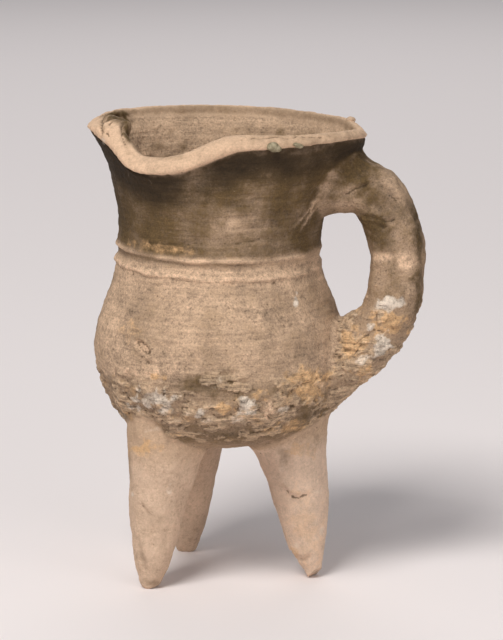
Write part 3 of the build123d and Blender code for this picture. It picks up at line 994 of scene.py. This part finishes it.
# Painted shade under the lip's overhang, on the lip's underside and on the neck below the spout, mixed
# with some real soot.
painted_shade_and_soot = trunk * (1 - lip) * (1 - ramp(lip_low - level, *SHADE_AND_SOOT_BELOW_LIP))
painted_shade_and_soot *= 0.85 - 0.35 * front_light + 0.2 * patchy
painted_shade_and_soot += lip * outside * (1 - ramp(lip_share, -0.04, 0.08))
painted_shade_and_soot += 0.55 * trunk * ramp(level, *SPOUT_SHADE_AND_SOOT) * around(*SPOUT_SHADE_AND_SOOT_AT)
# The leg under the handle is paler clay and is also painted lighter, as if it caught more light.
paler_clay_and_painted_light_right_leg = 0.5 + 0.5 * limb["leg_under_handle"]
in_hollows = ramp(hollow, 0.03, 0.14) + 0.6 * ramp(hollow_wide, 0.25, 1.0)
state = {
    "smoke_and_painted_shade": film_and_painted_shade * (1 - 0.8 * on_lip) + 0.42 * lip_inner,
    "painted_shade_and_soot": painted_shade_and_soot,
    # The cordon crests are rubbed pale clay with a painted highlight on top.
    "pale": on_lip * (0.9 - 0.4 * dull_lip) - 0.5 * lip_inner + 0.75 * cordon_crest + 0.6 * smeared,
    "leg": legs * paler_clay_and_painted_light_right_leg * (1 - ramp(level, *LEG_CLAY_BELOW)),
    "crust": crust,
    "ochre": 0.45 * ground * ramp(rough(13, 72, 3), 0.2, 0.7),
    "lime": 0.35 * ground * ramp(rough(9, 73, 4), 0.3, 0.7),
    # Darker in hollows, pits, cracks and the seam.
    "dark_in_hollows_and_cracks": in_hollows * (1 - 0.7 * groove) + 0.3 * pits + 0.6 * cracks + 0.4 * seam,
    "rubbed": 0.7 * ramp(-hollow, 0.015, 0.10) + 0.7 * ramp(-hollow_wide, 0.3, 1.1),
}
frayed = 0.55 * rough(4, 75, 3)
for key, patches in PATCHES.items():
    blur = PATCH_BLUR if key in SOFT_PATCHES else 0
    for x, y, wide, tall, strength, *lean in patches:
        gap = oval((x, y), wide, tall, *lean) + frayed
        patch = strength * (1 - ramp(gap, PATCH_EDGE[0] - blur, PATCH_EDGE[1] + blur)) * in_view
        state[key] = state[key] + patch
        if key == "pale":
            state["smoke_and_painted_shade"] = state["smoke_and_painted_shade"] - WIPES_SMOKE * patch
state = {key: np.clip(values, 0, 1) for key, values in state.items()}
print("states:", sorted(state))

# %% [markdown]
# ## Cut the skin back into members
# The vessel is kept as its members: bowl, shoulder, neck, lip, handle and legs. Swollen copies of the
# solids serve as cutters for the limbs and the lip, and two level cuts part the wall at the luting lines.
# A boolean modifier makes each cut, so every piece is closed and fits its neighbour exactly.

# %% Cut the members apart
LIMB_COVER = 0.0032
LIP_COVER = 0.0026
CUTTER_STEP = 0.0012
WIDEST = 0.100
WAIST = 0.1405
OVER_RIM = 0.3
BLOCK_WIDTH = 0.4


def part(piece, cutter, name, keep):
    """The part of a piece that lies inside or outside a cutter."""
    cut_piece = add(name, piece.data.copy())
    way = "INTERSECT" if keep == "inside" else "DIFFERENCE"
    work(cut_piece, "BOOLEAN", object=cutter, operation=way, solver="MANIFOLD")
    return cut_piece


blank.vertex_groups.clear()
limb_cutter = copy_members([name for names in LIMBS.values() for name in names], LIMB_COVER)
handle_cutter = copy_members(LIMBS["handle"], LIMB_COVER)
lip_cutter = copy_members(LIP_MEMBERS, LIP_COVER)
for cutter in (limb_cutter, handle_cutter, lip_cutter):
    work(cutter, "REMESH", mode="VOXEL", voxel_size=CUTTER_STEP)
limbs = part(blank, limb_cutter, "limbs", "inside")
walls = part(blank, limb_cutter, "walls", "outside")
pieces = {
    "lip": part(walls, lip_cutter, "lip", "inside"),
    "handle": part(limbs, handle_cutter, "handle", "inside"),
}
all_legs = part(limbs, handle_cutter, "legs", "outside")
open_walls = part(walls, lip_cutter, "open_walls", "outside")
for name, low, high in (("bowl", 0, WIDEST), ("shoulder", WIDEST, WAIST), ("neck", WAIST, OVER_RIM)):
    bpy.ops.mesh.primitive_cube_add(size=1, location=(0, 0, (low + high) / 2))
    block = bpy.context.object
    block.scale = (BLOCK_WIDTH, BLOCK_WIDTH, high - low)
    bpy.ops.object.transform_apply()
    pieces[name] = part(open_walls, block, name, "inside")
    bpy.data.objects.remove(block)
edit(all_legs, bpy.ops.mesh.separate, type="LOOSE")
loose = list(bpy.context.selected_objects)
print("limbs cut free:", len(loose))

# %% Name the limbs by the member they stand for
SCRAP_POINTS = 500
for piece in sorted(loose, key=lambda piece: -len(piece.data.vertices)):
    middle = read_points(piece).mean(axis=0)
    gaps = {}
    for name, names in LIMBS.items():
        low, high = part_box(names[0])
        gaps[name] = np.linalg.norm(middle - 1000 * np.array(low + high) / 2)
    name = min(gaps, key=gaps.get)
    if name in pieces or len(piece.data.vertices) < SCRAP_POINTS:
        bpy.data.objects.remove(piece)
        continue
    pieces[name] = piece
for scrap in (limb_cutter, handle_cutter, lip_cutter, limbs, walls, open_walls):
    bpy.data.objects.remove(scrap)
print(sorted(pieces))

# %% [markdown]
# ## Carry the states over
# Each piece takes the states of the skin, and the way the skin faced, from the nearest point of the blank.
# With that the shading runs over a cut as if the wall were whole.

# %% Carry the states to the pieces
skin_tree = plant(spot)
for name, piece in pieces.items():
    piece.name = piece.data.name = name + "_clay"
    source = nearest(read_points(piece), skin_tree)
    for key, values in state.items():
        layer = piece.data.attributes.new(key, "FLOAT", "POINT")
        layer.data.foreach_set("value", values[source].astype(np.float32))
    piece.data.shade_smooth()
    piece.data.normals_split_custom_set_from_vertices(facing[source].tolist())
    print(piece.name, "faces:", len(piece.data.polygons))
bpy.data.objects.remove(blank)

# %% [markdown]
# ## Pellets on the lip
# Small crumbs stuck to the lip before firing, two of a greener clay and one like the body. Each is a ball
# pressed flat on the lip: a sphere that is squashed, sunk a little and dented with a displace modifier.

# %% Stick the pellets on
# Azimuth, shift out and up, and size in mm.
PELLETS = (
    (309.0, (-0.2, -0.5), (3.3, 1.9, 1.9)),
    (319.5, (0.0, -0.3), (2.6, 1.3, 1.1)),
    (25.0, (0.0, -0.6), (2.4, 2.0, 1.5)),
)
PELLET_SPAN = 5
PELLET_TILT = 0.3
PELLET_DENTS = 0.0009
PELLET_DENT_SIZE = 0.0022
pellet_lumps = bpy.data.textures.new("pellet_lumps", "CLOUDS")
pellet_lumps.noise_scale = PELLET_DENT_SIZE
crumbs = []
solid_points = read_points(nodes["rim_pellets"])
solid_azimuth = bearing(solid_points)
for turn, (out, up), size in PELLETS:
    ball = solid_points[np.abs(apart(solid_azimuth, turn)) < PELLET_SPAN]
    place = (ball.min(axis=0) + ball.max(axis=0)) / 2
    way = math.radians(turn)
    place = place + (math.cos(way) * out, math.sin(way) * out, up)
    bpy.ops.mesh.primitive_ico_sphere_add(subdivisions=5, radius=0.001)
    crumb = bpy.context.object
    crumb.scale = size
    crumb.rotation_euler = (0, PELLET_TILT, math.atan2(place[1], place[0]) + math.pi / 2)
    crumb.location = Vector(place) / 1000
    bpy.ops.object.transform_apply()
    work(crumb, "DISPLACE", texture=pellet_lumps, strength=PELLET_DENTS, texture_coords="LOCAL")
    crumbs.append(crumb)
pellets = join(crumbs)
pellets.name = "pellets_clay"
pellets.data.shade_smooth()
print("pellets:", len(PELLETS))

# %% [markdown]
# ## Old clay
# One finish serves the whole vessel, because it is one clay. It starts as buff, goes brown-grey where
# smoke lay and where shade is painted, dark brown where shade and soot are painted under the lip, pale
# where it is rubbed and where light is painted, darker in hollows, and takes ochre, lime and grey earth
# where the crust is. Fine noise adds the sandy speckle and the mottling, and a bump gives the grain that
# is too small to model.

# %% Choose the colours
BODY = (192, 163, 136)
PALE = (215, 182, 152)
LEG = (220, 192, 169)
# Brown-grey of the smoke film, also used for painted shade.
FILM_AND_PAINTED_SHADE = (94, 75, 49)
# Dark brown for the painted shade and soot under the lip.
SOOT_AND_PAINTED_SHADE = (50, 39, 27)
# Dark brown for hollows, pits, cracks and grit.
DARK_BROWN = (84, 68, 49)
CRUST = (182, 156, 127)
OCHRE = (206, 166, 122)
LIME = (210, 197, 182)


def seen(colour):
    """A colour as it is seen, turned into the light it sends back."""
    shares = [value / 255 for value in colour]
    light = [share / 12.92 if share < 0.04045 else ((share + 0.055) / 1.055) ** 2.4 for share in shares]
    return light + [1.0]


# %% Find words for wiring up a finish
class Finish:
    """A small set of words for wiring up a finish."""

    def __init__(self, name):
        self.material = bpy.data.materials.new(name)
        self.material.use_nodes = True
        self.tree = self.material.node_tree
        self.shader = self.tree.nodes["Principled BSDF"]
        self.place = self.node("TexCoord", {}).outputs["Object"]

    def put(self, made, sockets):
        """Set a node's sockets to values, or link them."""
        for key, value in sockets.items():
            if hasattr(value, "is_linked"):
                self.tree.links.new(value, made.inputs[key])
            else:
                made.inputs[key].default_value = value

    def node(self, kind, sockets, **settings):
        """A new node."""
        made = self.tree.nodes.new("ShaderNode" + kind)
        for setting, value in settings.items():
            setattr(made, setting, value)
        self.put(made, sockets)
        return made

    def state(self, name):
        """A state of the skin."""
        return self.node("Attribute", {}, attribute_name=name).outputs["Fac"]

    def sums(self, how, *values):
        return self.node("Math", dict(enumerate(values)), operation=how).outputs[0]

    def plus(self, base, grains, weight):
        return self.sums("MULTIPLY_ADD", grains, weight, base)

    def speckle(self, size, detail, rough, stretch=(1, 1, 1), shift=(0, 0, 0), turn=(0, 0, 0)):
        """Noise with grains of a size in mm."""
        mapping = {"Vector": self.place, "Scale": [1 / value for value in stretch],
                   "Location": shift, "Rotation": turn}
        grains = {"Vector": self.node("Mapping", mapping).outputs[0], "Scale": 1000 / size,
                  "Detail": detail, "Roughness": rough}
        return self.node("TexNoise", grains).outputs["Fac"]

    def step(self, value, low, high, top=1.0):
        """A soft rise from 0 to the top."""
        rise = {"Value": value, "From Min": low, "From Max": high, "To Max": top}
        return self.node("MapRange", rise, interpolation_type="SMOOTHSTEP").outputs[0]

    def over(self, share, under, top, how="MIX"):
        """One colour laid over another."""
        colours = {"Factor": share, 6: under, 7: top}
        return self.node("Mix", colours, data_type="RGBA", blend_type=how).outputs[2]


# %% Mix the clay
# State, colour, how far its edge wanders, where it sets in and is full, and how well it covers.
LAYERS = (
    ("leg", LEG, 0.5, (0.1, 0.9, 0.9)), ("pale", PALE, 0.6, (0.2, 0.85, 1.0)),
    ("rubbed", PALE, 0.5, (0.3, 0.95, 0.6)), ("smoke_and_painted_shade", FILM_AND_PAINTED_SHADE, 0.9, (0.05, 1.0, 1.0)),
    ("painted_shade_and_soot", SOOT_AND_PAINTED_SHADE, 0.5, (0.1, 1.0, 0.92)), ("crust", CRUST, 0.8, (0.25, 0.9, 0.6)),
    ("ochre", OCHRE, 0.9, (0.15, 0.95, 0.8)), ("lime", LIME, 1.2, (0.2, 1.05, 0.8)),
    ("dark_in_hollows_and_cracks", DARK_BROWN, 0.5, (0.3, 1.0, 0.75)),
)
FIBRE_TONE = 2.3
FIBRE_HEIGHT = 2.0
SHINE = 0.2
BUMP_DEPTH = 0.0007


def old_clay(name, grain, contrast, wiping, sweep, gritty):
    """The vessel's clay, with its smoke, rubbing, earth and crust."""
    finish = Finish(name)
    broad = finish.speckle(24, 5, 0.6, shift=(5, 2, 7))
    mottle = finish.speckle(7, 6, 0.65)
    fine = finish.speckle(1.7, 4, 0.7, shift=(1, 4, 2))
    sand = finish.speckle(0.75, 3, 0.6, shift=(3, 1, 2))
    wiped = finish.speckle(1.3, 5, 0.6, sweep, shift=(2, 3, 1))
    fibres = finish.speckle(1.1, 4, 0.6, (5, 5, 1), shift=(4, 4, 1), turn=(0.5, 0.35, 0.0))
    ragged = finish.plus(finish.plus(-0.85, fine, 0.8), mottle, 0.9)
    grit = finish.step(finish.speckle(1.0, 2, 0.5, shift=(9, 4, 6)), 0.54, 0.72, gritty)
    chalk = finish.step(finish.speckle(1.5, 2, 0.5, (1.6, 1.6, 1), shift=(6, 8, 3)), 0.58, 0.72, 0.6)
    clay = finish.over(chalk, finish.over(grit, seen(BODY), seen(DARK_BROWN)), seen(PALE))
    for key, colour, wander, (low, high, strength) in LAYERS:
        amount = finish.plus(finish.state(key), ragged, wander)
        clay = finish.over(finish.step(amount, low, high, strength), clay, seen(colour))
    weights = ((broad, 0.6), (mottle, 0.9), (fine, 1.1), (sand, 0.8), (wiped, 0.8 * wiping))
    tone = 1 - 0.5 * contrast * sum(weight for _, weight in weights)
    for grains, weight in weights:
        tone = finish.plus(tone, grains, contrast * weight)
    crusted = finish.state("crust")
    crust_tone = finish.sums("MULTIPLY", crusted, FIBRE_TONE)
    tone = finish.plus(tone, finish.sums("SUBTRACT", fibres, 0.5), crust_tone)
    clay = finish.over(1.0, clay, tone, "MULTIPLY")
    height = finish.sums("MULTIPLY", sand, 0.45)
    crust_height = finish.plus(0.2, crusted, FIBRE_HEIGHT)
    for grains, weight in ((fine, 0.8), (wiped, 0.8 * wiping), (mottle, 1.2), (fibres, crust_height)):
        height = finish.plus(height, grains, weight)
    bump = finish.node("Bump", {"Strength": grain, "Distance": BUMP_DEPTH, "Height": height})
    finish.put(finish.shader, {
        "Base Color": clay, "Roughness": finish.plus(0.74, fine, 0.22), "Specular IOR Level": SHINE,
        "Normal": bump.outputs["Normal"],
    })
    return finish.material


# %% Give each piece its clay
SLOTS = {
    "bowl": "body_clay", "shoulder": "body_clay", "neck": "neck_clay", "lip": "lip_clay",
    "handle": "handle_clay",
    "leg_under_handle": "leg_clay", "leg_under_spout": "leg_clay", "leg_at_rear": "leg_clay",
}
# Strength of the bump, contrast, strength and stretch of the wiping streaks, and amount of grit.
GRAIN = {
    "body_clay": (0.9, 1.35, 0.8, (11, 11, 1), 0.4), "neck_clay": (0.85, 1.3, 0.9, (11, 11, 1), 0.3),
    "lip_clay": (0.65, 0.65, 0.15, (8, 8, 1), 0.2), "handle_clay": (1.0, 1.4, 0.2, (3, 3, 3), 0.45),
    "leg_clay": (0.75, 0.6, 0.3, (1, 1, 8), 0.15),
}
clays = {slot: old_clay("old_" + slot, *settings) for slot, settings in GRAIN.items()}
for name, piece in pieces.items():
    piece.data.materials.clear()
    piece.data.materials.append(clays[SLOTS[name]])
print("clays:", sorted(clays))

# %% Mix the pellets' clay
PELLET_DARK = (122, 111, 84)
PELLET_LIGHT = (168, 156, 128)
PELLET_ROUGHNESS = 0.6
finish = Finish("green_pellet_clay")
mottled = finish.step(finish.speckle(2.2, 4, 0.6), 0.35, 0.65)
green = finish.over(mottled, seen(PELLET_DARK), seen(PELLET_LIGHT))
split = finish.node("SeparateXYZ", {0: finish.place})
at_rear = finish.step(split.outputs["Y"], 0.0, 0.01)
colour = finish.over(at_rear, green, seen(BODY))
finish.put(finish.shader, {"Base Color": colour, "Roughness": PELLET_ROUGHNESS})
pellets.data.materials.append(finish.material)
print("pellets' clay:", finish.material.name)

# %% [markdown]
# ## Put every piece in its place
# Nothing on the vessel moves, so all pieces ride on the one body. Each piece stands for the members
# that it was cut from.

# %% Fasten the pieces
STANDS_FOR = {
    "bowl": ("belly_bowl",),
    "shoulder": ("shoulder_ring", "lower_cordon"),
    "neck": ("neck_collar", "upper_cordon"),
    "lip": LIP_MEMBERS,
    **LIMBS,
}
for name, piece in pieces.items():
    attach(piece, "root")
    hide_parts(*STANDS_FOR[name])
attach(pellets, "root")
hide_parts("rim_pellets")
